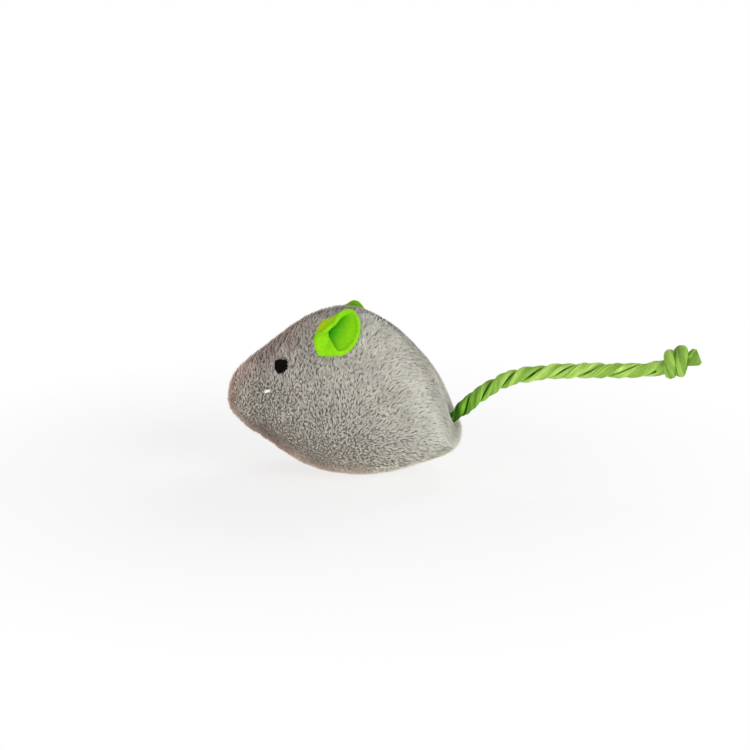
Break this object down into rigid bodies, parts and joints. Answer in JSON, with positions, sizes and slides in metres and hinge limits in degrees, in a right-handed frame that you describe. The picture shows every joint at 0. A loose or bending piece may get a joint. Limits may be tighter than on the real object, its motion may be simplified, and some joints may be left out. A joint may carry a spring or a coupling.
{
  "type": "catnip mouse toy",
  "caption": "Small stuffed plush mouse with cupped felt ears, a herb sachet inside and a stiff twisted rope tail that ends in a knot.",
  "frame": {"origin": "on the resting plane, under the middle of the body without its tail", "axes": "nose towards -X, tail towards +X, the mouse's left towards -Y, up +Z"},
  "size_m": [0.1285, 0.04, 0.0462],
  "materials": {
    "plush": "short grey pile plush",
    "felt": "lime green felt",
    "paper_rope": "lime green twisted paper rope",
    "black_thread": "black satin-stitch embroidery thread",
    "white_thread": "white sewing thread",
    "grey_thread": "grey sewing thread",
    "fibre": "loose white fibre filling",
    "sachet_cloth": "thin white nonwoven cloth",
    "herb": "dried crushed herb"
  },
  "bodies": {
    "mouse": {"side_panel_left": "plush", "side_panel_right": "plush", "belly_panel": "plush", "spine_seam_thread": "grey_thread", "belly_seam_thread_left": "grey_thread", "belly_seam_thread_right": "grey_thread", "closing_stitch": "grey_thread", "ear_tack_left": "grey_thread", "ear_tack_right": "grey_thread", "eye_left": "black_thread", "eye_right": "black_thread", "muzzle_stitch_left": "white_thread", "muzzle_stitch_right": "white_thread", "filling_front": "fibre", "filling_rear": "fibre", "sachet_sheet_left": "sachet_cloth", "sachet_sheet_right": "sachet_cloth", "catnip": "herb", "tail_anchor": "paper_rope"},
    "tail_base": {"tail_root": "paper_rope"},
    "tail": {"tail_rope": "paper_rope", "tail_knot": "paper_rope"},
    "ear_left_flap": {"ear_left": "felt"},
    "ear_right_flap": {"ear_right": "felt"}
  },
  "joints": [
    {"name": "tail_swing", "type": "hinge", "parent": "mouse", "child": "tail_base", "pos_m": [0.02976, 0, 0.01494], "axis": [0, 0, 1], "range_deg": [-30, 30], "stiffness_Nm_per_rad": 0.005},
    {"name": "tail_lift", "type": "hinge", "parent": "tail_base", "child": "tail", "pos_m": [0.02976, 0, 0.01494], "axis": [0, -1, 0], "range_deg": [-20, 35], "stiffness_Nm_per_rad": 0.005},
    {"name": "ear_left_flex", "type": "hinge", "parent": "mouse", "child": "ear_left_flap", "pos_m": [-0.0051, -0.01445, 0.03506], "axis": [0.7675, -0.4683, -0.4377], "range_deg": [0, 60], "stiffness_Nm_per_rad": 0.0001},
    {"name": "ear_right_flex", "type": "hinge", "parent": "mouse", "child": "ear_right_flap", "pos_m": [-0.0051, 0.01445, 0.03506], "axis": [-0.7675, -0.4683, 0.4377], "range_deg": [0, 60], "stiffness_Nm_per_rad": 0.0001}
  ]
}
